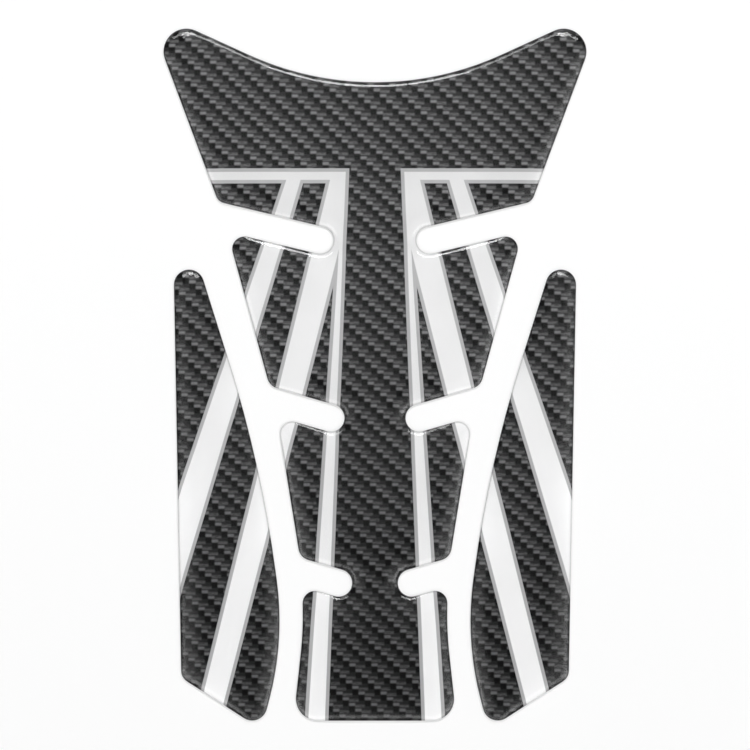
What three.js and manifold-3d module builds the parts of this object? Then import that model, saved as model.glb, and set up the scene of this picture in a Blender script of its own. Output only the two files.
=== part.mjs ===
// Motorcycle tank pad: a set of three domed stickers for a fuel tank.
// A long centre pad runs down the tank's spine, with a horn at each top corner and three slots
// cut in from each side, and a narrow side pad lies on its left and its right. Each pad is a
// printed vinyl film with a clear resin dome cast on it.
// Millimetres. X runs across the tank, +Y points to the horned end, +Z is up, out of the tank.
// The origin is in the middle of the set, on the glued underside of the films.

import * as THREE from 'three';
import { mergeVertices } from 'three/addons/utils/BufferGeometryUtils.js';
import Module from 'manifold-3d';

const wasm = await Module();
wasm.setup();

// The set
const SET_LENGTH = 180;
const SET_WIDTH = 110;

// Section through each pad
const FILM_THICKNESS = 0.3;
const DOME_HEIGHT = 1.7;
const DOME_EDGE_RISE = 1.3;
const DOME_EDGE_RUN = 1.4;
const DOME_EDGE_STEPS = 4;

// Centre pad: horns, and the notch between them that goes round the filler cap
const HORN_RADIUS = 5.95;
const NOTCH_DEPTH = 13.95;
const TOP_EDGE_SLOPE = degrees(24.5);
const WING_EDGE_LEAN = degrees(20.5);
const WING_CORNER_RADIUS = 2.9;

// Centre pad: slots. reach is from the centre line to the centre of the slot's round end.
const SLOT_WIDTH = 7.1;
const UPPER_SLOT = { reach: 14.3, height: 35.0, slope: degrees(13.4) };
const MIDDLE_SLOT = { reach: 11.5, height: -11.25, slope: degrees(16) };
const LOWER_SLOT = { reach: 9.5, height: -54.15, slope: degrees(16) };

// Centre pad: outer edges of its lobes. halfWidth is taken at the stated height.
const UPPER_LOBE_EDGE = { halfWidth: 33.0, height: 17.2, lean: degrees(15.4) };
const MIDDLE_LOBE_EDGE = { halfWidth: 22.3, height: -30.6, lean: degrees(9.2) };
const LOBE_TOP_RADIUS = 3.2;
const LOBE_BOTTOM_RADIUS = 3.6;

// Centre pad: lowest lobe, which is drawn in at its waist and flares to its foot
const WAIST = { halfWidth: 18.7, height: -66.5, radius: 90 };
const WAIST_LEAN = degrees(1.2);
const FOOT_FLARE = degrees(6.2);
const FOOT_RADIUS = 5.8;

// Side pads. Each is given on the right of the set, where both coordinates are from its origin.
const SIDE_TOP_TIP = { x: 48.35, y: 23.4, radius: 3.95 };
const SIDE_UPPER_BEND = { x: 29.6, y: -23.2, radius: 330 };
const SIDE_LOWER_BEND = { x: 23.4, y: -69.0, radius: 80 };
const SIDE_BOTTOM_TIP = { x: 31.95, y: -86.0, radius: 3.95 };
const SIDE_OUTER_FOOT = { x: 50.4, y: -78.8, radius: 3.4 };

// How far a round outline may depart from its true arc
const ARC_TOLERANCE = 0.02;

// Points closer than this are one corner of a solid
const WELD_DISTANCE = 1e-4;

const FILM_COLOUR = 0x3c3c3e;
const RESIN_COLOUR = 0xf4f6f8;

function degrees(angle) {
  return THREE.MathUtils.degToRad(angle);
}

function point(x, y) {
  return new THREE.Vector2(x, y);
}

// A straight edge: a point on it and the direction that it runs in
function edge(through, direction) {
  return { through, direction: direction.clone().normalize() };
}

// An edge that runs upwards and leans outwards by an angle from the vertical
function leaningEdge(through, lean) {
  return edge(through, point(Math.sin(lean), Math.cos(lean)));
}

// An edge that runs outwards and rises by an angle from the horizontal
function slopingEdge(through, slope) {
  return edge(through, point(Math.cos(slope), Math.sin(slope)));
}

// The normal that points to the right of an edge's direction
function rightOf(direction) {
  return point(direction.y, -direction.x);
}

function shifted(line, toTheRight) {
  const through = line.through.clone().addScaledVector(rightOf(line.direction), toTheRight);
  return edge(through, line.direction);
}

// The corner where two edges meet, rounded by a radius
function cornerOf(first, second, radius) {
  const apart = second.through.clone().sub(first.through);
  const along = apart.cross(second.direction) / first.direction.cross(second.direction);
  const corner = first.through.clone().addScaledVector(first.direction, along);
  return { x: corner.x, y: corner.y, radius };
}

// The edge from a point that touches a round tip and keeps the tip on its left
function edgeTouching(from, tip) {
  const toTip = point(tip.x - from.x, tip.y - from.y);
  const turn = Math.asin(tip.radius / toTip.length());
  return edge(point(from.x, from.y), toTip.rotateAround(point(0, 0), -turn));
}

// The corner of a round tip, between the corner before it and the corner after it. The outline
// runs anticlockwise, so the tip lies on the left of the edge in and on the right of the
// reversed edge out.
function tipCorner(before, tip, after) {
  const edgeIn = edgeTouching(before, tip);
  const mirroredAfter = { x: -after.x, y: after.y };
  const mirroredTip = { x: -tip.x, y: tip.y, radius: tip.radius };
  const mirroredOut = edgeTouching(mirroredAfter, mirroredTip);
  const edgeOut = edge(point(after.x, after.y), point(-mirroredOut.direction.x, mirroredOut.direction.y));
  return cornerOf(edgeIn, edgeOut, tip.radius);
}

// A closed outline through corners, each rounded by its own radius. A side that is too short
// for the roundings at its two ends shares its length between them.
function roundedOutline(corners) {
  const count = corners.length;
  const at = corners.map((corner) => point(corner.x, corner.y));
  const towards = (from, to) => at[to].clone().sub(at[from]).normalize();
  const halfAngles = corners.map((corner, i) => {
    const back = towards(i, (i + count - 1) % count);
    const ahead = towards(i, (i + 1) % count);
    return Math.acos(THREE.MathUtils.clamp(back.dot(ahead), -1, 1)) / 2;
  });
  const wanted = corners.map((corner, i) => corner.radius / Math.tan(halfAngles[i]));
  const share = corners.map((corner, i) => {
    const next = (i + 1) % count;
    return Math.min(1, at[i].distanceTo(at[next]) / (wanted[i] + wanted[next]));
  });
  const outline = [];
  for (let i = 0; i < count; i += 1) {
    const before = (i + count - 1) % count;
    const setback = wanted[i] * Math.min(share[before], share[i]);
    const radius = setback * Math.tan(halfAngles[i]);
    const back = towards(i, before);
    const ahead = towards(i, (i + 1) % count);
    const inwards = back.clone().add(ahead).normalize();
    const centre = at[i].clone().addScaledVector(inwards, radius / Math.sin(halfAngles[i]));
    const start = at[i].clone().addScaledVector(back, setback).sub(centre);
    const end = at[i].clone().addScaledVector(ahead, setback).sub(centre);
    const turn = Math.atan2(start.cross(end), start.dot(end));
    const widestStep = 2 * Math.acos(1 - Math.min(ARC_TOLERANCE / radius, 1));
    const steps = Math.max(1, Math.ceil(Math.abs(turn) / widestStep));
    for (let step = 0; step <= steps; step += 1) {
      const spoke = start.clone().rotateAround(point(0, 0), (turn * step) / steps);
      const next = centre.clone().add(spoke);
      if (outline.length === 0 || outline.at(-1).distanceTo(next) > ARC_TOLERANCE) outline.push(next);
    }
  }
  if (outline[0].distanceTo(outline.at(-1)) <= ARC_TOLERANCE) outline.pop();
  return outline;
}

function mirrored(corners) {
  return corners.map((corner) => ({ ...corner, x: -corner.x })).reverse();
}

// A slot's two long edges, and the two corners that make its round end
function slotEdges(slot) {
  const middle = slopingEdge(point(slot.reach, slot.height), slot.slope);
  const lower = shifted(middle, SLOT_WIDTH / 2);
  const upper = shifted(middle, -SLOT_WIDTH / 2);
  const endOfSlot = middle.through.clone().addScaledVector(middle.direction, -SLOT_WIDTH / 2);
  const blindEnd = edge(endOfSlot, rightOf(middle.direction));
  return {
    lower,
    upper,
    roundEnd: [cornerOf(lower, blindEnd, SLOT_WIDTH / 2), cornerOf(upper, blindEnd, SLOT_WIDTH / 2)],
  };
}

function lobeEdge(lobe) {
  return leaningEdge(point(lobe.halfWidth, lobe.height), lobe.lean);
}

function centreOutline() {
  const top = SET_LENGTH / 2;
  const bottom = -SET_LENGTH / 2;
  const horn = point(SET_WIDTH / 2 - HORN_RADIUS, top - HORN_RADIUS);

  const waist = point(WAIST.halfWidth, WAIST.height);
  const footEdge = leaningEdge(waist, -FOOT_FLARE);
  const waistEdge = leaningEdge(waist, WAIST_LEAN);
  const bottomEdge = slopingEdge(point(0, bottom), 0);
  const lowerSlot = slotEdges(LOWER_SLOT);
  const middleSlot = slotEdges(MIDDLE_SLOT);
  const upperSlot = slotEdges(UPPER_SLOT);
  const middleLobe = lobeEdge(MIDDLE_LOBE_EDGE);
  const upperLobe = lobeEdge(UPPER_LOBE_EDGE);
  const wingEdge = shifted(leaningEdge(horn, WING_EDGE_LEAN), HORN_RADIUS);
  const topEdge = shifted(slopingEdge(horn, TOP_EDGE_SLOPE), -HORN_RADIUS);

  // The notch is the round between the two top edges, and its depth sets its radius
  const notchCorner = cornerOf(topEdge, leaningEdge(point(0, 0), 0), 0);
  const roundPerRadius = 1 / Math.cos(TOP_EDGE_SLOPE) - 1;
  notchCorner.radius = (top - NOTCH_DEPTH - notchCorner.y) / roundPerRadius;

  const rightHalf = [
    cornerOf(bottomEdge, footEdge, FOOT_RADIUS),
    { x: waist.x, y: waist.y, radius: WAIST.radius },
    cornerOf(waistEdge, lowerSlot.lower, LOBE_TOP_RADIUS),
    ...lowerSlot.roundEnd,
    cornerOf(lowerSlot.upper, middleLobe, LOBE_BOTTOM_RADIUS),
    cornerOf(middleLobe, middleSlot.lower, LOBE_TOP_RADIUS),
    ...middleSlot.roundEnd,
    cornerOf(middleSlot.upper, upperLobe, LOBE_BOTTOM_RADIUS),
    cornerOf(upperLobe, upperSlot.lower, LOBE_TOP_RADIUS),
    ...upperSlot.roundEnd,
    cornerOf(upperSlot.upper, wingEdge, WING_CORNER_RADIUS),
    cornerOf(wingEdge, topEdge, HORN_RADIUS),
  ];
  return roundedOutline([...rightHalf, notchCorner, ...mirrored(rightHalf)]);
}

function rightSideOutline() {
  const topTip = tipCorner(SIDE_OUTER_FOOT, SIDE_TOP_TIP, SIDE_UPPER_BEND);
  const bottomTip = tipCorner(SIDE_LOWER_BEND, SIDE_BOTTOM_TIP, SIDE_OUTER_FOOT);
  return roundedOutline([SIDE_OUTER_FOOT, topTip, SIDE_UPPER_BEND, SIDE_LOWER_BEND, bottomTip]);
}

function mirroredOutline(outline) {
  return outline.map((corner) => point(-corner.x, corner.y)).reverse();
}

function toSolid(geometry) {
  const bare = geometry.index ? geometry.toNonIndexed() : geometry.clone();
  bare.deleteAttribute('normal');
  bare.deleteAttribute('uv');
  const welded = mergeVertices(bare, WELD_DISTANCE);
  return new wasm.Manifold(new wasm.Mesh({
    numProp: 3,
    vertProperties: new Float32Array(welded.attributes.position.array),
    triVerts: new Uint32Array(welded.index.array),
  }));
}

function toGeometry(solid) {
  const mesh = solid.getMesh();
  const geometry = new THREE.BufferGeometry();
  geometry.setAttribute('position', new THREE.BufferAttribute(mesh.vertProperties, 3));
  geometry.setIndex(new THREE.BufferAttribute(mesh.triVerts, 1));
  geometry.computeVertexNormals();
  return geometry;
}

function filmGeometry(outline) {
  return new THREE.ExtrudeGeometry(new THREE.Shape(outline), {
    depth: FILM_THICKNESS,
    bevelEnabled: false,
  });
}

// The resin stands up from the film's edge, rounds over as it set, and is flat on top. Both
// faces of the extrusion are rounded, so the lower one is cut away.
function domeGeometry(outline) {
  const roundedBothWays = new THREE.ExtrudeGeometry(new THREE.Shape(outline), {
    depth: DOME_HEIGHT - DOME_EDGE_RISE,
    bevelEnabled: true,
    bevelThickness: DOME_EDGE_RISE,
    bevelSize: DOME_EDGE_RUN,
    bevelOffset: -DOME_EDGE_RUN,
    bevelSegments: DOME_EDGE_STEPS,
  });
  const keptLength = 2 * SET_LENGTH;
  const kept = new THREE.BoxGeometry(keptLength, keptLength, DOME_HEIGHT * 2);
  kept.translate(0, 0, DOME_HEIGHT);
  return toGeometry(toSolid(roundedBothWays).intersect(toSolid(kept)));
}

const filmMaterial = new THREE.MeshStandardMaterial({
  color: FILM_COLOUR,
  roughness: 0.45,
  metalness: 0,
});

const resinMaterial = new THREE.MeshStandardMaterial({
  color: RESIN_COLOUR,
  roughness: 0.05,
  metalness: 0,
  transparent: true,
  opacity: 0.35,
});

function pad(name, outline) {
  const film = new THREE.Mesh(filmGeometry(outline), filmMaterial);
  film.name = `${name}_print_film`;
  const dome = new THREE.Mesh(domeGeometry(outline), resinMaterial);
  dome.name = `${name}_resin_dome`;
  dome.position.z = FILM_THICKNESS;
  const group = new THREE.Group();
  group.add(film, dome);
  return group;
}

const rightSide = rightSideOutline();
const tankPad = new THREE.Group();
tankPad.add(pad('centre', centreOutline()));
tankPad.add(pad('left', mirroredOutline(rightSide)));
tankPad.add(pad('right', rightSide));

export default tankPad;
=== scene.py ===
# Motorcycle tank pad: a horned centre pad and two side pads, each a printed film under a clear
# resin dome, lying on a pale surface and seen from straight above.
# Metres, in the CAD frame: X runs across the set, +Y points to the horned end, +Z is up.

import math

import bmesh
import bpy
import numpy as np
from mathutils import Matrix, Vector
from mathutils.geometry import delaunay_2d_cdt


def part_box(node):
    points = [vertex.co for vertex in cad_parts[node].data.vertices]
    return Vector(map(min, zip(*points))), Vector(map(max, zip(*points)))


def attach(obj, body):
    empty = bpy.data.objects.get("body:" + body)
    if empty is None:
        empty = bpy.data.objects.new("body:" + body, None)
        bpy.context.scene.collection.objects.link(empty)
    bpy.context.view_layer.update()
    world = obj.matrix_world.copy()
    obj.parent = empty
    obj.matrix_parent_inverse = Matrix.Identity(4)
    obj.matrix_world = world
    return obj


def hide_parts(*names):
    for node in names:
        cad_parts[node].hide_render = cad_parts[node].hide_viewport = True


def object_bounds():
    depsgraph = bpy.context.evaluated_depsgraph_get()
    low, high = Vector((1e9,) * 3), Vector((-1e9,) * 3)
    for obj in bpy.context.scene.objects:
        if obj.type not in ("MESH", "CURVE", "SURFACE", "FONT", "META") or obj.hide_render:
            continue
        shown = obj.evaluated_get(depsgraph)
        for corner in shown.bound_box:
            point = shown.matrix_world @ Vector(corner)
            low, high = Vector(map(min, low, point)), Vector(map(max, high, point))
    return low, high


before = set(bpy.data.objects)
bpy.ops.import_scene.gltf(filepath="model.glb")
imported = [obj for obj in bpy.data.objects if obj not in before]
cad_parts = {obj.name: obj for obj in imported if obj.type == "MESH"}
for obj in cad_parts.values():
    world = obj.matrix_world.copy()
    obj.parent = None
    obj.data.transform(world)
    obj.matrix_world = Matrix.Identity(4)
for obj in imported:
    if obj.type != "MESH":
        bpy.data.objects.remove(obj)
cad_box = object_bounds()

MM = 0.001
PADS = ("centre", "left", "right")

# Framing
PHOTO_PIXELS = 750
PHOTO_PIXEL = 0.26 * MM
PHOTO_MIDDLE_Y = -0.08 * MM
CAMERA_HEIGHT = 0.5
SENSOR_WIDTH = 36.0

# Studio. The softboxes stand in one row over the horned end. A softbox is (name, azimuth, half
# width, radiance) and a glow of the walls or ceiling is (azimuth, elevation, reach, radiance).
# Fades and rises are pairs of heights or sideways shares of a direction's unit vector.
SOFTBOX_DISTANCE = 3.0
SOFTBOX_ELEVATION = 29.0
SOFTBOX_HALF_HEIGHT = 5.2
SOFTBOXES = (
    ("softbox_left", -27.0, 17.0, 4.8),
    ("softbox_middle", 1.0, 11.0, 12.5),
    ("softbox_right", 29.0, 17.0, 7.4),
)
WALL_RADIANCE = 0.45
SKY_RADIANCE = 0.08
WALL_FADE = (0.12, 0.35)
BACK_WALL_MIDDLE = 1.6
BACK_WALL_CORNERS = 1.0
BACK_WALL_START = (0.0, 0.35)
BACK_WALL_RISE = (0.27, 0.50)
BACK_WALL_FADE = (0.50, 0.75)
BACK_WALL_ASIDE = (0.1, 0.5)
FLOOR_COLOURS = ((0.975, 0.975, 0.975, 1), (0.99, 0.99, 0.99, 1))
FLOOR_REACH = 12.0
FLOOR_GAP = 0.01 * MM
FLOOR_GLOW = 0.03
GLOW_CORE = 8.0
GLOWS = (
    (0.0, 73.0, 28.0, 0.35),
    (6.0, 30.0, 34.0, 0.7),
    (90.0, 28.0, 30.0, 0.5),
    (115.0, 46.0, 34.0, 0.85),
    (180.0, 46.0, 30.0, 0.15),
    (-115.0, 46.0, 34.0, 0.75),
)

# Film. The outermost band of its print is painted darker by the two factors below, as painted shade of
# the resin's foot.
CUT_EDGE_BEVEL = 0.06 * MM
FILM_EDGE_SHOWING = 0.2 * MM
PRINT_RIM = 0.4 * MM
PRINT_RIM_CARBON_PAINTED_LIGHT = 0.45
PRINT_RIM_PALE_PAINTED_LIGHT = 0.78

# Resin dome, set back from the film's edge so that a hair of the cut film shows round it. Surface
# tension rounds it off towards its edge within a few times the meniscus length.
RESIN_FOOT = 0.12 * MM
RESIN_BOND_DEPTH = 0.02 * MM
MENISCUS_LENGTH = 2.2 * MM
TIP_MENISCUS_LENGTH = 1.2 * MM
TIP_REACH = 3.3 * MM
TIPS = ((49.5 * MM, 85.2 * MM), (48.35 * MM, 24.0 * MM))
EDGE_SPACING = 0.9 * MM
RING_STEP = 0.1 * MM
RING_GROWTH = 1.18
RING_COUNT = 12
RING_TOLERANCE = 0.97
FLAT_SPACING = 1.1 * MM
RESIN_ROUGHNESS = 0.03
RESIN_IOR = 1.5
RIPPLE_SCALE = 350.0
RIPPLE_HEIGHT = 0.012 * MM
CREASE_ANGLE = 30.0

# Small beads in the resin where it was drawn into the tips, as (across, along, radius, height).
# BEAD_REACH is in bead radii.
BEAD_SPACING = 0.2 * MM
BEAD_REACH = 2.0
BEAD_CLEARANCE = 0.4 * MM
BEADS = (
    (-50.4 * MM, 88.0 * MM, 0.5 * MM, 0.13 * MM),
    (-49.5 * MM, 87.0 * MM, 0.6 * MM, 0.22 * MM),
    (-48.7 * MM, 87.8 * MM, 0.5 * MM, 0.15 * MM),
    (47.3 * MM, 88.0 * MM, 0.5 * MM, 0.12 * MM),
    (48.8 * MM, 87.5 * MM, 0.8 * MM, 0.22 * MM),
    (50.9 * MM, 87.4 * MM, 0.6 * MM, 0.18 * MM),
    (-49.3 * MM, 25.1 * MM, 0.6 * MM, 0.14 * MM),
    (-47.9 * MM, 25.5 * MM, 0.5 * MM, 0.10 * MM),
    (-46.7 * MM, 24.9 * MM, 0.6 * MM, 0.12 * MM),
    (46.8 * MM, 24.9 * MM, 0.6 * MM, 0.12 * MM),
    (48.3 * MM, 25.6 * MM, 0.5 * MM, 0.10 * MM),
    (49.6 * MM, 25.4 * MM, 0.6 * MM, 0.12 * MM),
    (-34.2 * MM, 34.4 * MM, 0.7 * MM, 0.14 * MM),
    (34.2 * MM, 34.7 * MM, 0.7 * MM, 0.12 * MM),
)

# Printed bars. A border's foot is its distance from the centre line at Y = 0, and its slope is
# how much further out it runs for each metre up the pad.
PRINT_TOP = 53.6 * MM
HEADER_HEIGHT = 3.9 * MM
EDGING_WIDTH = 0.9 * MM
PRINT_BLUR = 0.12 * MM
STEM_INNER = (8.69 * MM, -0.0380)
STEM_OUTER = (12.36 * MM, -0.0654)
LONG_BAR_INNER = (16.70 * MM, -0.2545)
LONG_BAR_OUTER = (25.05 * MM, -0.2462)
SHORT_BAR_INNER = (33.40 * MM, -0.2965)
SHORT_BAR_OUTER = (41.05 * MM, -0.3380)

# Printed twill. Each row of dashes is shifted sideways from the one above it.
TWILL_PERIOD = 5.732 * MM
TWILL_ROW = 1.463 * MM
TWILL_SHIFT = 1.622 * MM
TWILL_TURN = 0.066
TWILL_ORIGIN = (-46.12 * MM, 79.68 * MM)
BRIGHT_DASH_LENGTH = 1.6 * MM
BRIGHT_DASH_HEIGHT = 0.70 * MM
DIM_DASH_LENGTH = 2.5 * MM
DIM_DASH_HEIGHT = 0.72 * MM
DIM_DASH_DROP = 0.44 * MM
GAP_RISE = 0.2 * MM
DASH_SOFTNESS = 0.28 * MM
GAP_SOFTNESS = 0.3 * MM
FIBRE_STRETCH = (0.22, 1.0, 1.0)
# The carbon is painted lighter towards the horned end, a painted sheen. It rises over this span of the
# pad's length, from the foot's tone by this gain.
CARBON_PAINTED_SHEEN_SPAN = (0.05, 0.85)
CARBON_FOOT_TONE = 0.55
CARBON_PAINTED_SHEEN_GAIN = 0.49

# Print colours, with the foot's first where they change along the pad.
CARBON = (0.029, 0.029, 0.0295, 1)
CARBON_GAP = (0.007, 0.007, 0.0071, 1)
CARBON_DIM_DASH = (0.134, 0.134, 0.136, 1)
CARBON_BRIGHT_DASH = (0.240, 0.240, 0.243, 1)
# The edging is lighter and the white darker towards the horned end.
EDGING_COLOURS = ((0.43, 0.43, 0.434, 1), (0.50, 0.50, 0.505, 1))
WHITE_COLOURS = ((0.96, 0.96, 0.962, 1), (0.77, 0.77, 0.772, 1))


# Geometry helpers

def film_outline(pad):
    """A film's outline, anticlockwise from above, read from its CAD solid."""
    solid = bmesh.new()
    solid.from_mesh(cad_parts[pad + "_print_film"].data)
    bmesh.ops.remove_doubles(solid, verts=solid.verts, dist=0.001 * MM)
    following = {}
    for face in solid.faces:
        if face.normal.z < 0.5:
            continue
        for loop in face.loops:
            if abs(loop.link_loop_radial_next.face.normal.z) < 0.5:
                following[loop.vert] = loop.link_loop_next.vert
    start = next(iter(following))
    outline = [start.co.xy.copy()]
    vert = following[start]
    while vert is not start:
        outline.append(vert.co.xy.copy())
        vert = following[vert]
    solid.free()
    return outline


def inset(outline, distance):
    """The outline moved inwards by a distance, with its corners mitred."""
    moved = []
    for i, corner in enumerate(outline):
        before = (corner - outline[i - 1]).normalized()
        after = (outline[(i + 1) % len(outline)] - corner).normalized()
        inwards = Vector((-before.y - after.y, before.x + after.x)).normalized()
        mitre = inwards.dot(Vector((-before.y, before.x)))
        moved.append(corner + inwards * (distance / mitre))
    return moved


def refined(outline, spacing):
    """The outline with points added so that none of its sides is longer than the spacing."""
    points = []
    for i, corner in enumerate(outline):
        following = outline[(i + 1) % len(outline)]
        pieces = math.ceil((following - corner).length / spacing)
        points += [corner.lerp(following, piece / pieces) for piece in range(pieces)]
    return points


def depth_inside(points, outline):
    """How far each point lies inside an outline, as an array, and negative outside it."""
    points = np.array([tuple(p) for p in points])
    starts = np.array([tuple(p) for p in outline])
    depth = np.full(len(points), np.inf)
    inside = np.zeros(len(points), dtype=bool)
    for start, end in zip(starts, np.roll(starts, -1, axis=0)):
        side = end - start
        offset = points - start
        along = np.clip(offset @ side / (side @ side), 0.0, 1.0)
        depth = np.minimum(depth, np.hypot(*(offset - along[:, None] * side).T))
        if start[1] != end[1]:
            crosses = (start[1] > points[:, 1]) != (end[1] > points[:, 1])
            inside ^= crosses & (offset[:, 0] < side[0] * offset[:, 1] / side[1])
    return np.where(inside, depth, -depth)


def near_beads(points):
    """Whether each point lies on or close to a bead, as an array."""
    points = np.array([tuple(p) for p in points])
    near = np.zeros(len(points), dtype=bool)
    for across, along, radius, _ in BEADS:
        away = np.hypot(points[:, 0] - across, points[:, 1] - along)
        near |= away < BEAD_REACH * radius + BEAD_SPACING
    return near


def bead_points(edge):
    """A fine grid of points on each bead that lies inside the edge."""
    cells = set()
    for across, along, radius, _ in BEADS:
        steps = math.ceil(BEAD_REACH * radius / BEAD_SPACING)
        middle = (round(across / BEAD_SPACING), round(along / BEAD_SPACING))
        for i in range(-steps, steps + 1):
            for j in range(-steps, steps + 1):
                if math.hypot(i, j) <= steps:
                    cells.add((middle[0] + i, middle[1] + j))
    points = [Vector((i * BEAD_SPACING, j * BEAD_SPACING)) for i, j in sorted(cells)]
    clear = depth_inside(points, edge) > BEAD_CLEARANCE
    return [point for point, keep in zip(points, clear) if keep]


def meniscus_points(edge):
    """Points for a resin surface: rings that follow its edge closely, then an even grid."""
    points = list(edge)
    run = 0.0
    step = RING_STEP
    for _ in range(RING_COUNT):
        run += step
        step *= RING_GROWTH
        ring = inset(edge, run)
        clear = depth_inside(ring, edge) > run * RING_TOLERANCE
        if run > BEAD_CLEARANCE - BEAD_SPACING / 2:
            clear &= ~near_beads(ring)
        points += [point for point, keep in zip(ring, clear) if keep]
    low = Vector((min(p.x for p in edge), min(p.y for p in edge)))
    high = Vector((max(p.x for p in edge), max(p.y for p in edge)))
    row_height = FLAT_SPACING * math.sqrt(3) / 2
    grid = []
    for row in range(math.ceil((high.y - low.y) / row_height)):
        for column in range(math.ceil((high.x - low.x) / FLAT_SPACING) + 1):
            stagger = 0.5 * (row % 2)
            grid.append(low + Vector(((column - stagger) * FLAT_SPACING, row * row_height)))
    clear = (depth_inside(grid, edge) > run + FLAT_SPACING / 2) & ~near_beads(grid)
    return points + [point for point, keep in zip(grid, clear) if keep] + bead_points(edge)


def bead_heights(points):
    """How much the beads add to the resin's height at each point."""
    heights = np.zeros(len(points))
    for across, along, radius, height in BEADS:
        away = np.hypot(points[:, 0] - across, points[:, 1] - along)
        heights += height * np.exp(-(away / radius) ** 2)
    return heights


def meniscus_length(points):
    """How far the resin takes to level off near each point. It is fuller at the rounded tips."""
    tipness = np.zeros(len(points))
    for across, along in TIPS:
        away = np.hypot(np.abs(points[:, 0]) - across, points[:, 1] - along)
        tipness = np.maximum(tipness, np.exp(-(away / TIP_REACH) ** 2))
    return MENISCUS_LENGTH * (TIP_MENISCUS_LENGTH / MENISCUS_LENGTH) ** tipness


def meniscus_rise(points, triangles, edge_count):
    """How far a liquid film rises at each point, from 0 at its edge to 1 far from it. It solves
    the linear capillary equation on the triangles by conjugate gradients."""
    corners = points[triangles]
    starts, ends, weights = [], [], []
    mass = np.zeros(len(points))
    for corner in range(3):
        near, far = (corner + 1) % 3, (corner + 2) % 3
        u = corners[:, near] - corners[:, corner]
        v = corners[:, far] - corners[:, corner]
        twice_area = np.abs(u[:, 0] * v[:, 1] - u[:, 1] * v[:, 0])
        starts.append(triangles[:, near])
        ends.append(triangles[:, far])
        weights.append(0.5 * (u * v).sum(axis=1) / twice_area)
        np.add.at(mass, triangles[:, corner], twice_area / 6)
    starts, ends, weights = np.concatenate(starts), np.concatenate(ends), np.concatenate(weights)
    pull = mass / meniscus_length(points) ** 2
    free = np.arange(len(points)) >= edge_count

    def stretched(height):
        flow = weights * (height[starts] - height[ends])
        out = np.bincount(starts, flow, len(points)) - np.bincount(ends, flow, len(points))
        return np.where(free, out + pull * height, 0.0)

    rise = np.where(free, 1.0, 0.0)
    residual = np.where(free, pull, 0.0) - stretched(rise)
    direction = residual.copy()
    error = residual @ residual
    first_error = error
    while error > first_error * 1e-12:
        answer = stretched(direction)
        step = error / (direction @ answer)
        rise += step * direction
        residual -= step * answer
        new_error = residual @ residual
        direction = residual + direction * new_error / error
        error = new_error
    return rise


def stacked_shell(name, rings, ring_slots, materials):
    """A closed shell through rings of (outline, height), from its underside to its top.
    ring_slots gives the material of the underside, of each band and of the top."""
    shell = bmesh.new()
    rows = [[shell.verts.new((p.x, p.y, height)) for p in outline] for outline, height in rings]
    count = len(rows[0])
    underside = shell.faces.new(list(reversed(rows[0])))
    underside.material_index = ring_slots[0]
    for band, (low, high) in enumerate(zip(rows, rows[1:])):
        for i in range(count):
            j = (i + 1) % count
            side = shell.faces.new((low[i], low[j], high[j], high[i]))
            side.material_index = ring_slots[band + 1]
    top = shell.faces.new(rows[-1])
    top.material_index = ring_slots[-1]
    shell.normal_update()
    bmesh.ops.triangulate(shell, faces=[underside, top])
    mesh = bpy.data.meshes.new(name)
    shell.to_mesh(mesh)
    shell.free()
    for material in materials:
        mesh.materials.append(material)
    piece = bpy.data.objects.new(name, mesh)
    bpy.context.scene.collection.objects.link(piece)
    return piece


# Node helpers

def new_group(name, inputs, outputs):
    """A shader node group with float or vector sockets, and its input and output nodes."""
    group = bpy.data.node_groups.new(name, "ShaderNodeTree")
    for socket, kind in inputs:
        group.interface.new_socket(name=socket, in_out="INPUT", socket_type=kind)
    for socket, kind in outputs:
        group.interface.new_socket(name=socket, in_out="OUTPUT", socket_type=kind)
    return group, group.nodes.new("NodeGroupInput"), group.nodes.new("NodeGroupOutput")


def use_group(tree, group, **values):
    node = tree.nodes.new("ShaderNodeGroup")
    node.node_tree = group
    for socket, value in values.items():
        node.inputs[socket.replace("_", " ")].default_value = value
    return node


def math_node(tree, operation, *operands):
    """A Math node whose operands are sockets or plain numbers. Returns its output."""
    node = tree.nodes.new("ShaderNodeMath")
    node.operation = operation
    for socket, operand in zip(node.inputs, operands):
        if isinstance(operand, (int, float)):
            socket.default_value = operand
        else:
            tree.links.new(operand, socket)
    return node.outputs[0]


def soft_step(tree, value, low, high):
    """0 below low and 1 above high, with a smooth rise between them."""
    node = tree.nodes.new("ShaderNodeMapRange")
    node.interpolation_type = "SMOOTHSTEP"
    for socket, operand in (("Value", value), ("From Min", low), ("From Max", high)):
        if isinstance(operand, (int, float)):
            node.inputs[socket].default_value = operand
        else:
            tree.links.new(operand, node.inputs[socket])
    return node.outputs["Result"]


def noise_value(tree, vector, scale, detail, roughness=0.5):
    node = tree.nodes.new("ShaderNodeTexNoise")
    node.inputs["Scale"].default_value = scale
    node.inputs["Detail"].default_value = detail
    node.inputs["Roughness"].default_value = roughness
    tree.links.new(vector, node.inputs["Vector"])
    return node.outputs["Fac"]


def mixed_colour(tree, factor, first, second):
    node = tree.nodes.new("ShaderNodeMix")
    node.data_type = "RGBA"
    tree.links.new(factor, node.inputs["Factor"])
    for socket, colour in ((node.inputs["A"], first), (node.inputs["B"], second)):
        if isinstance(colour, tuple):
            socket.default_value = colour
        else:
            tree.links.new(colour, socket)
    return node.outputs["Result"]


def new_material(name):
    material = bpy.data.materials.new(name)
    material.use_nodes = True
    tree = material.node_tree
    return material, tree, tree.nodes["Principled BSDF"], tree.nodes["Material Output"]


# Print

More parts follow.
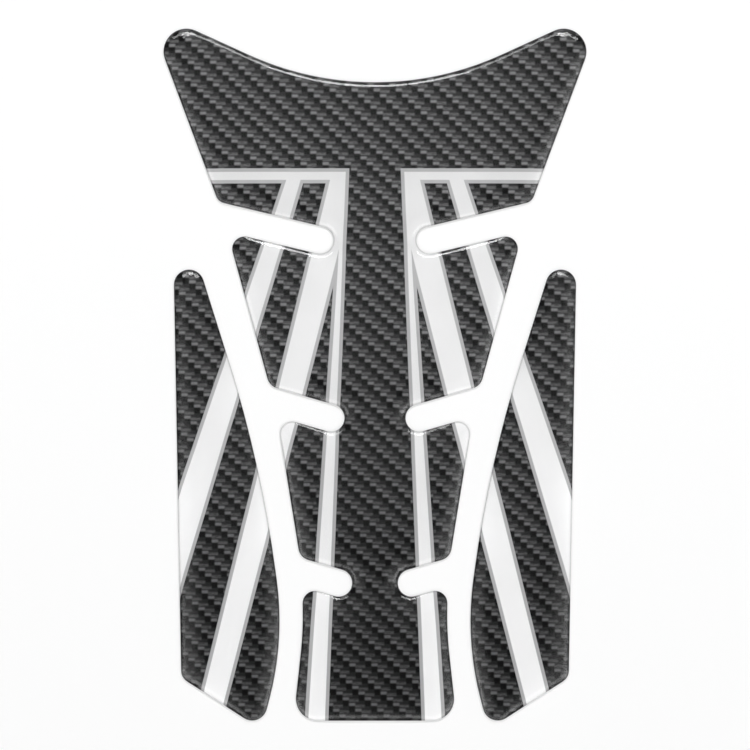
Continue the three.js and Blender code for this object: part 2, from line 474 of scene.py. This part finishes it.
def wedge_bar_group():
    """How deep a point lies inside a tapering bar, in metres, and negative outside it."""
    group, given, result = new_group(
        "Wedge bar",
        [(name, "NodeSocketFloat") for name in
         ("Across", "Along", "Inner Foot", "Inner Slope", "Outer Foot", "Outer Slope")],
        [("Depth", "NodeSocketFloat")],
    )
    take = given.outputs
    inner = math_node(group, "MULTIPLY_ADD", take["Inner Slope"], take["Along"], take["Inner Foot"])
    outer = math_node(group, "MULTIPLY_ADD", take["Outer Slope"], take["Along"], take["Outer Foot"])
    past_inner = math_node(group, "SUBTRACT", take["Across"], inner)
    before_outer = math_node(group, "SUBTRACT", outer, take["Across"])
    group.links.new(math_node(group, "MINIMUM", past_inner, before_outer), result.inputs["Depth"])
    return group


def bar_print_group():
    """The white bars and their grey edging: a header, a stem and two long wedges a side."""
    group, given, result = new_group(
        "Bar print",
        [("Position", "NodeSocketVector"), ("Edging Width", "NodeSocketFloat"),
         ("Blur", "NodeSocketFloat")],
        [("White", "NodeSocketFloat"), ("Printed", "NodeSocketFloat")],
    )
    split = group.nodes.new("ShaderNodeSeparateXYZ")
    group.links.new(given.outputs["Position"], split.inputs[0])
    across = math_node(group, "ABSOLUTE", split.outputs["X"])
    along = split.outputs["Y"]
    wedge = wedge_bar_group()

    def bar(inner, outer):
        node = use_group(group, wedge, Inner_Foot=inner[0], Inner_Slope=inner[1],
                         Outer_Foot=outer[0], Outer_Slope=outer[1])
        group.links.new(across, node.inputs["Across"])
        group.links.new(along, node.inputs["Along"])
        return node.outputs["Depth"]

    below_top = math_node(group, "SUBTRACT", PRINT_TOP, along)
    header_foot = PRINT_TOP - HEADER_HEIGHT
    above_foot = math_node(group, "SUBTRACT", along, header_foot)
    in_header = math_node(group, "MINIMUM", below_top, above_foot)
    outside_field = (1.0, 0.0)
    past_stem = bar(STEM_INNER, outside_field)
    bars = in_header
    for inner, outer in ((STEM_INNER, STEM_OUTER), (LONG_BAR_INNER, LONG_BAR_OUTER),
                         (SHORT_BAR_INNER, SHORT_BAR_OUTER)):
        under_header = math_node(group, "MINIMUM", bar(inner, outer), below_top)
        bars = math_node(group, "MAXIMUM", bars, under_header)
    depth = math_node(group, "MINIMUM", bars, past_stem)

    edging = given.outputs["Edging Width"]
    half_blur = math_node(group, "MULTIPLY", given.outputs["Blur"], 0.5)
    white = soft_step(group, depth, math_node(group, "SUBTRACT", edging, half_blur),
                      math_node(group, "ADD", edging, half_blur))
    printed = soft_step(group, depth, math_node(group, "MULTIPLY", half_blur, -1.0), half_blur)
    group.links.new(white, result.inputs["White"])
    group.links.new(printed, result.inputs["Printed"])
    return group


def twill_group():
    """Printed carbon twill: a bright dash and a longer dim dash in each repeat of each row."""
    group, given, result = new_group(
        "Carbon twill",
        [("Position", "NodeSocketVector"), ("Period", "NodeSocketFloat"),
         ("Row", "NodeSocketFloat"), ("Shift", "NodeSocketFloat")],
        [("Bright", "NodeSocketFloat"), ("Dim", "NodeSocketFloat"), ("Gap", "NodeSocketFloat")],
    )
    split = group.nodes.new("ShaderNodeSeparateXYZ")
    group.links.new(given.outputs["Position"], split.inputs[0])
    period, row, shift = (given.outputs[name] for name in ("Period", "Row", "Shift"))
    down = math_node(group, "SUBTRACT", TWILL_ORIGIN[1], split.outputs["Y"])
    right = math_node(group, "SUBTRACT", split.outputs["X"], TWILL_ORIGIN[0])

    def dash(start, length, drop, height, softness):
        """A dash that starts to the right of the row's origin and lies below the row's line."""
        lowered = math_node(group, "SUBTRACT", down, drop)
        rows_down = math_node(group, "ROUND", math_node(group, "DIVIDE", lowered, row))
        minus_row = math_node(group, "MULTIPLY", row, -1.0)
        off_row = math_node(group, "MULTIPLY_ADD", rows_down, minus_row, lowered)
        minus_shift = math_node(group, "MULTIPLY", shift, -1.0)
        moved = math_node(group, "MULTIPLY_ADD", rows_down, minus_shift, right)
        centred = math_node(group, "SUBTRACT", moved, start + length / 2)
        repeats = math_node(group, "ROUND", math_node(group, "DIVIDE", centred, period))
        minus_period = math_node(group, "MULTIPLY", period, -1.0)
        off_centre = math_node(group, "MULTIPLY_ADD", repeats, minus_period, centred)
        along = math_node(group, "SUBTRACT", length / 2, math_node(group, "ABSOLUTE", off_centre))
        across = math_node(group, "SUBTRACT", height / 2, math_node(group, "ABSOLUTE", off_row))
        return math_node(group, "MULTIPLY", soft_step(group, along, -softness, softness),
                         soft_step(group, across, -softness, softness))

    half = BRIGHT_DASH_LENGTH / 2
    bright = dash(-half, BRIGHT_DASH_LENGTH, 0.0, BRIGHT_DASH_HEIGHT, DASH_SOFTNESS)
    dim = dash(half, DIM_DASH_LENGTH, DIM_DASH_DROP, DIM_DASH_HEIGHT, DASH_SOFTNESS)
    gap_length = TWILL_PERIOD - BRIGHT_DASH_LENGTH - DIM_DASH_LENGTH
    gap = dash(-half - gap_length, gap_length, -GAP_RISE, TWILL_ROW, GAP_SOFTNESS)
    group.links.new(bright, result.inputs["Bright"])
    group.links.new(dim, result.inputs["Dim"])
    group.links.new(gap, result.inputs["Gap"])
    return group


def ink_grain_group():
    """Uneven ink: a slow drift in tone and a fine speckle, both around 1."""
    group, given, result = new_group(
        "Ink grain",
        [("Position", "NodeSocketVector"), ("Drift", "NodeSocketFloat"),
         ("Speckle", "NodeSocketFloat")],
        [("Tone", "NodeSocketFloat")],
    )
    position = given.outputs["Position"]
    drift = math_node(group, "SUBTRACT", noise_value(group, position, 60.0, 2.0), 0.5)
    speckle = math_node(group, "SUBTRACT", noise_value(group, position, 2600.0, 3.0), 0.5)
    tone = math_node(group, "MULTIPLY_ADD", drift, given.outputs["Drift"], 1.0)
    tone = math_node(group, "MULTIPLY_ADD", speckle, given.outputs["Speckle"], tone)
    group.links.new(tone, result.inputs["Tone"])
    return group


def scaled_colour(tree, colour, tone):
    """A colour multiplied by a tone."""
    node = tree.nodes.new("ShaderNodeVectorMath")
    node.operation = "SCALE"
    tree.links.new(colour, node.inputs[0])
    tree.links.new(tone, node.inputs["Scale"])
    return node.outputs[0]


def printed_film_material(name, groups, carbon_painted_light, pale_painted_light):
    """The film's printed face: carbon twill with white bars in grey edging. It is bonded to the
    resin, so it has no gloss of its own. Painted lights below 1 darken its rim as painted shade
    of the resin's foot."""
    twill_print, grain, bar_print = groups
    material, tree, shader, _ = new_material(name)
    position = tree.nodes.new("ShaderNodeTexCoord").outputs["Object"]

    twill = use_group(tree, twill_print, Period=TWILL_PERIOD, Row=TWILL_ROW, Shift=TWILL_SHIFT)
    turned = tree.nodes.new("ShaderNodeVectorRotate")
    turned.rotation_type = "Z_AXIS"
    turned.inputs["Center"].default_value = (*TWILL_ORIGIN, 0)
    turned.inputs["Angle"].default_value = math.radians(-TWILL_TURN)
    tree.links.new(position, turned.inputs["Vector"])
    tree.links.new(turned.outputs["Vector"], twill.inputs["Position"])
    stretch = tree.nodes.new("ShaderNodeVectorMath")
    stretch.operation = "MULTIPLY"
    stretch.inputs[1].default_value = FIBRE_STRETCH
    tree.links.new(position, stretch.inputs[0])
    fibres = noise_value(tree, stretch.outputs[0], 3800.0, 2.0)

    carbon = mixed_colour(tree, twill.outputs["Gap"], CARBON, CARBON_GAP)
    dim_fibres = soft_step(tree, fibres, 0.15, 0.62)
    dim_strength = math_node(tree, "MULTIPLY", twill.outputs["Dim"], dim_fibres)
    carbon = mixed_colour(tree, dim_strength, carbon, CARBON_DIM_DASH)
    bright_fibres = soft_step(tree, fibres, 0.0, 0.5)
    bright_strength = math_node(tree, "MULTIPLY", twill.outputs["Bright"], bright_fibres)
    carbon = mixed_colour(tree, bright_strength, carbon, CARBON_BRIGHT_DASH)

    carbon_grain = use_group(tree, grain, Drift=0.25, Speckle=0.5)
    tree.links.new(position, carbon_grain.inputs["Position"])
    carbon = scaled_colour(tree, carbon, carbon_grain.outputs["Tone"])
    split = tree.nodes.new("ShaderNodeSeparateXYZ")
    tree.links.new(position, split.inputs[0])
    length = cad_box[1][1] - cad_box[0][1]
    horned_end = math_node(tree, "MULTIPLY_ADD", split.outputs["Y"], 1.0 / length, 0.5)
    # Painted sheen: the carbon is painted lighter towards the horned end. A painted light below 1
    # darkens it further as painted shade at the print's rim.
    painted_sheen = soft_step(tree, horned_end, *CARBON_PAINTED_SHEEN_SPAN)
    carbon_sheen_and_shade = math_node(tree, "MULTIPLY_ADD", painted_sheen, CARBON_PAINTED_SHEEN_GAIN * carbon_painted_light,
                            CARBON_FOOT_TONE * carbon_painted_light)
    carbon = scaled_colour(tree, carbon, carbon_sheen_and_shade)

    bars = use_group(tree, bar_print, Edging_Width=EDGING_WIDTH, Blur=PRINT_BLUR)
    tree.links.new(position, bars.inputs["Position"])
    # The edging gets lighter and the white darker towards the horned end.
    edging = mixed_colour(tree, horned_end, *EDGING_COLOURS)
    white = mixed_colour(tree, horned_end, *WHITE_COLOURS)
    pale = mixed_colour(tree, bars.outputs["White"], edging, white)
    pale_grain = use_group(tree, grain, Drift=0.05, Speckle=0.05)
    tree.links.new(position, pale_grain.inputs["Position"])
    # Painted shade: a painted light below 1 darkens the pale print at the rim.
    pale_tone = math_node(tree, "MULTIPLY", pale_grain.outputs["Tone"], pale_painted_light)
    pale = scaled_colour(tree, pale, pale_tone)

    printed = mixed_colour(tree, bars.outputs["Printed"], carbon, pale)
    tree.links.new(printed, shader.inputs["Base Color"])
    shader.inputs["Roughness"].default_value = 0.6
    shader.inputs["Specular IOR Level"].default_value = 0.0
    return material


def cut_edge_material():
    """The cut edge of the film: pale vinyl with fine knife marks."""
    material, tree, shader, _ = new_material("Cut film edge")
    position = tree.nodes.new("ShaderNodeTexCoord").outputs["Object"]
    marks = noise_value(tree, position, 4000.0, 3.0)
    tone = mixed_colour(tree, marks, (0.38, 0.38, 0.382, 1), (0.52, 0.52, 0.522, 1))
    tree.links.new(tone, shader.inputs["Base Color"])
    shader.inputs["Roughness"].default_value = 0.55
    return material


def glue_side_material():
    """The underside: a pale, slightly uneven coat of pressure-sensitive glue."""
    material, tree, shader, _ = new_material("Glue side")
    position = tree.nodes.new("ShaderNodeTexCoord").outputs["Object"]
    blotches = noise_value(tree, position, 180.0, 4.0)
    tone = mixed_colour(tree, blotches, (0.50, 0.50, 0.49, 1), (0.62, 0.62, 0.60, 1))
    tree.links.new(tone, shader.inputs["Base Color"])
    rough = tree.nodes.new("ShaderNodeMapRange")
    rough.inputs["To Min"].default_value = 0.25
    rough.inputs["To Max"].default_value = 0.45
    tree.links.new(blotches, rough.inputs["Value"])
    tree.links.new(rough.outputs["Result"], shader.inputs["Roughness"])
    return material


def clear_resin_material():
    """Cast clear resin. Shadow rays pass straight through it, so the print under it stays lit."""
    material, tree, shader, output = new_material("Clear resin")
    shader.inputs["Base Color"].default_value = (1.0, 1.0, 1.0, 1)
    shader.inputs["Roughness"].default_value = RESIN_ROUGHNESS
    shader.inputs["IOR"].default_value = RESIN_IOR
    shader.inputs["Transmission Weight"].default_value = 1.0
    position = tree.nodes.new("ShaderNodeTexCoord").outputs["Object"]
    ripple = noise_value(tree, position, RIPPLE_SCALE, 1.0)
    bump = tree.nodes.new("ShaderNodeBump")
    bump.inputs["Strength"].default_value = 1.0
    bump.inputs["Distance"].default_value = RIPPLE_HEIGHT
    tree.links.new(ripple, bump.inputs["Height"])
    tree.links.new(bump.outputs["Normal"], shader.inputs["Normal"])
    light_path = tree.nodes.new("ShaderNodeLightPath")
    clear = tree.nodes.new("ShaderNodeBsdfTransparent")
    clear.inputs["Color"].default_value = (1.0, 1.0, 1.0, 1)
    mix = tree.nodes.new("ShaderNodeMixShader")
    tree.links.new(light_path.outputs["Is Shadow Ray"], mix.inputs[0])
    tree.links.new(shader.outputs[0], mix.inputs[1])
    tree.links.new(clear.outputs[0], mix.inputs[2])
    tree.links.new(mix.outputs[0], output.inputs["Surface"])
    return material


# Pads

def build_film(pad, outline, materials):
    low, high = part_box(pad + "_print_film")
    rings = [
        (outline, low.z),
        (outline, high.z - CUT_EDGE_BEVEL),
        (inset(outline, CUT_EDGE_BEVEL), high.z),
        (inset(outline, PRINT_RIM), high.z),
    ]
    # The print's rim takes the material with painted shade.
    print_face, painted_shade_rim, cut_edge, glue_side = 0, 1, 2, 3
    slots = (glue_side, cut_edge, cut_edge, painted_shade_rim, print_face)
    film = stacked_shell(pad + "_film", rings, slots, materials)
    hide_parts(pad + "_print_film")
    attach(film, "root")


def resin_plan(edge):
    """The points and triangles of a resin surface seen from above, with the edge's points first."""
    edge_loop = [range(len(edge))]
    with_edge, merge_distance = 1, 1e-7
    points, _, triangles, origins, _, _ = delaunay_2d_cdt(
        meniscus_points(edge), [], edge_loop, with_edge, merge_distance)
    order = np.argsort([group[0] for group in origins], kind="stable")
    place = np.empty(len(order), dtype=int)
    place[order] = np.arange(len(order))
    points = np.array([tuple(p) for p in points])[order]
    return points, place[np.array(triangles)]


def build_dome(pad, outline, material):
    low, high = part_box(pad + "_resin_dome")
    edge = refined(inset(outline, FILM_EDGE_SHOWING), EDGE_SPACING)
    count = len(edge)
    plan, triangles = resin_plan(edge)
    rise = meniscus_rise(plan, triangles, count)
    foot = low.z + RESIN_FOOT
    heights = foot + (high.z - foot) * rise + bead_heights(plan) * rise
    heights = np.minimum(heights, high.z)
    vertices = [(x, y, z) for (x, y), z in zip(plan, heights)]
    under = len(vertices)
    vertices += [(x, y, low.z - RESIN_BOND_DEPTH) for x, y in plan[:count]]
    faces = [tuple(triangle) for triangle in triangles.tolist()]
    faces += [(under + i, under + (i + 1) % count, (i + 1) % count, i) for i in range(count)]
    faces.append(tuple(range(under + count - 1, under - 1, -1)))
    mesh = bpy.data.meshes.new(pad + "_dome")
    mesh.from_pydata(vertices, [], faces)
    mesh.materials.append(material)
    mesh.shade_smooth()
    mesh.set_sharp_from_angle(angle=math.radians(CREASE_ANGLE))
    dome = bpy.data.objects.new(pad + "_dome", mesh)
    bpy.context.scene.collection.objects.link(dome)
    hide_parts(pad + "_resin_dome")
    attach(dome, "root")


# Studio

def build_floor():
    material, tree, shader, _ = new_material("Pale floor")
    position = tree.nodes.new("ShaderNodeTexCoord").outputs["Object"]
    grain = noise_value(tree, position, 900.0, 3.0)
    tone = mixed_colour(tree, grain, *FLOOR_COLOURS)
    tree.links.new(tone, shader.inputs["Base Color"])
    shader.inputs["Roughness"].default_value = 0.8
    shader.inputs["Specular IOR Level"].default_value = 0.1
    light_path = tree.nodes.new("ShaderNodeLightPath")
    seen = light_path.outputs["Is Camera Ray"]
    for ray in ("Is Glossy Ray", "Is Transmission Ray"):
        seen = math_node(tree, "MAXIMUM", seen, light_path.outputs[ray])
    shader.inputs["Emission Color"].default_value = (1.0, 1.0, 1.0, 1)
    tree.links.new(math_node(tree, "MULTIPLY", seen, FLOOR_GLOW), shader.inputs["Emission Strength"])
    mesh = bpy.data.meshes.new("floor")
    corners = [(-FLOOR_REACH, -FLOOR_REACH, 0), (FLOOR_REACH, -FLOOR_REACH, 0),
               (FLOOR_REACH, FLOOR_REACH, 0), (-FLOOR_REACH, FLOOR_REACH, 0)]
    mesh.from_pydata(corners, [], [(0, 1, 2, 3)])
    mesh.materials.append(material)
    floor = bpy.data.objects.new("floor", mesh)
    floor.location.z = -FLOOR_GAP
    bpy.context.scene.collection.objects.link(floor)


def towards(azimuth, elevation):
    """A unit vector. Azimuth 0 is towards the horned end and 90 towards the right side pad."""
    azimuth, elevation = math.radians(azimuth), math.radians(elevation)
    level = math.cos(elevation)
    return Vector((math.sin(azimuth) * level, math.cos(azimuth) * level, math.sin(elevation)))


def add_softbox(name, azimuth, half_width, radiance):
    """A rectangular lamp in the low row over the horned end, as wide as an angle seen from the pads."""
    lamp = bpy.data.lights.new(name, "AREA")
    lamp.shape = "RECTANGLE"
    across = SOFTBOX_DISTANCE * math.cos(math.radians(SOFTBOX_ELEVATION))
    lamp.size = 2 * across * math.tan(math.radians(half_width))
    lamp.size_y = 2 * SOFTBOX_DISTANCE * math.tan(math.radians(SOFTBOX_HALF_HEIGHT))
    area = lamp.size * lamp.size_y
    lamp.energy = radiance * math.pi * area
    softbox = bpy.data.objects.new(name, lamp)
    direction = towards(azimuth, SOFTBOX_ELEVATION)
    softbox.location = direction * SOFTBOX_DISTANCE
    softbox.rotation_euler = direction.to_track_quat("Z", "Y").to_euler()
    bpy.context.scene.collection.objects.link(softbox)


def build_world():
    """A dim studio with pale walls near the floor and a few soft glows in its walls and ceiling."""
    world = bpy.data.worlds.new("Studio")
    bpy.context.scene.world = world
    world.use_nodes = True
    tree = world.node_tree
    direction = tree.nodes.new("ShaderNodeTexCoord").outputs["Generated"]
    split = tree.nodes.new("ShaderNodeSeparateXYZ")
    tree.links.new(direction, split.inputs[0])
    height = soft_step(tree, split.outputs["Z"], *WALL_FADE)
    light = math_node(tree, "MULTIPLY_ADD", height, SKY_RADIANCE - WALL_RADIANCE, WALL_RADIANCE)
    backwards = math_node(tree, "MULTIPLY", split.outputs["Y"], -1.0)
    behind = soft_step(tree, backwards, *BACK_WALL_START)
    above_table = soft_step(tree, split.outputs["Z"], *BACK_WALL_RISE)
    near_ceiling = soft_step(tree, split.outputs["Z"], *BACK_WALL_FADE)
    below_ceiling = math_node(tree, "SUBTRACT", 1.0, near_ceiling)
    band = math_node(tree, "MULTIPLY", above_table, below_ceiling)
    aside = soft_step(tree, math_node(tree, "ABSOLUTE", split.outputs["X"]), *BACK_WALL_ASIDE)
    back_wall = math_node(tree, "MULTIPLY_ADD", aside, BACK_WALL_CORNERS, BACK_WALL_MIDDLE)
    light = math_node(tree, "MULTIPLY_ADD", math_node(tree, "MULTIPLY", behind, band), back_wall, light)
    core = math.cos(math.radians(GLOW_CORE))
    for azimuth, elevation, reach, radiance in GLOWS:
        aim = tree.nodes.new("ShaderNodeVectorMath")
        aim.operation = "DOT_PRODUCT"
        aim.inputs[1].default_value = towards(azimuth, elevation)
        tree.links.new(direction, aim.inputs[0])
        closeness = soft_step(tree, aim.outputs["Value"], math.cos(math.radians(reach)), core)
        light = math_node(tree, "MULTIPLY_ADD", closeness, radiance, light)
    tree.links.new(light, tree.nodes["Background"].inputs["Strength"])
    tree.nodes["Background"].inputs["Color"].default_value = (1, 1, 1, 1)


def build_camera():
    camera_data = bpy.data.cameras.new("camera")
    camera_data.sensor_width = SENSOR_WIDTH
    print_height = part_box("centre_print_film")[1].z
    seen_width = PHOTO_PIXELS * PHOTO_PIXEL
    camera_data.lens = SENSOR_WIDTH * (CAMERA_HEIGHT - print_height) / seen_width
    camera_data.clip_end = 20.0
    camera = bpy.data.objects.new("camera", camera_data)
    camera.location = (0, PHOTO_MIDDLE_Y, CAMERA_HEIGHT)
    bpy.context.scene.collection.objects.link(camera)
    bpy.context.scene.camera = camera


def build_pads():
    groups = (twill_group(), ink_grain_group(), bar_print_group())
    film_materials = [
        printed_film_material("Printed film", groups, 1.0, 1.0),
        # The second print material has painted shade for the rim under the resin's foot.
        printed_film_material("Print with painted shade at the resin's foot", groups, PRINT_RIM_CARBON_PAINTED_LIGHT,
                              PRINT_RIM_PALE_PAINTED_LIGHT),
        cut_edge_material(),
        glue_side_material(),
    ]
    resin = clear_resin_material()
    for pad in PADS:
        outline = film_outline(pad)
        build_film(pad, outline, film_materials)
        build_dome(pad, outline, resin)


build_camera()
build_pads()
build_floor()
build_world()
for softbox_name, softbox_azimuth, softbox_half_width, softbox_radiance in SOFTBOXES:
    add_softbox(softbox_name, softbox_azimuth, softbox_half_width, softbox_radiance)
bpy.context.scene.view_settings.view_transform = "Standard"
